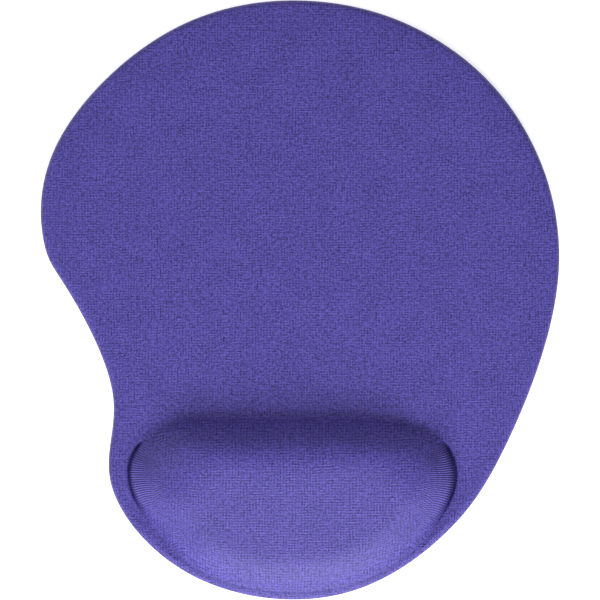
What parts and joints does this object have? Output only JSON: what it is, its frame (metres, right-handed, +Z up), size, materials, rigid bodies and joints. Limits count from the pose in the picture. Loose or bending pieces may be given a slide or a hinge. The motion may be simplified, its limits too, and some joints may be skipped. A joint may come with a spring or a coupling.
{
  "type": "gel mouse pad with wrist rest",
  "caption": "Contoured mouse pad with a broad round mousing area and a domed gel wrist rest, covered in one stretch knit cloth over foam, on a rubber anti-slip base.",
  "frame": {"origin": "on the desk, under the middle of the pad's length and width", "axes": "+X is the user's right, +Y points away from the user to the far end of the mousing area, +Z is up; the wrist rest is at -Y"},
  "size_m": [0.2249, 0.2599, 0.02],
  "materials": {
    "cover_knit": "fine stretch knit, matt with a pale nap sheen",
    "base_rubber": "matt foam rubber with a fine moulded grip texture",
    "foam": "closed-cell foam, matt",
    "gel": "clear soft gel",
    "pouch_film": "clear thermoplastic film",
    "bond_film": "hot-melt adhesive film"
  },
  "bodies": {
    "root": {"anti_slip_base": "base_rubber", "base_bond_film": "bond_film", "foam_board": "foam", "pouch_bond_film": "bond_film", "gel_pouch_lower_film": "pouch_film", "gel_core": "gel", "gel_pouch_upper_film": "pouch_film", "cover_bond_film": "bond_film", "knit_cover": "cover_knit"}
  },
  "joints": []
}
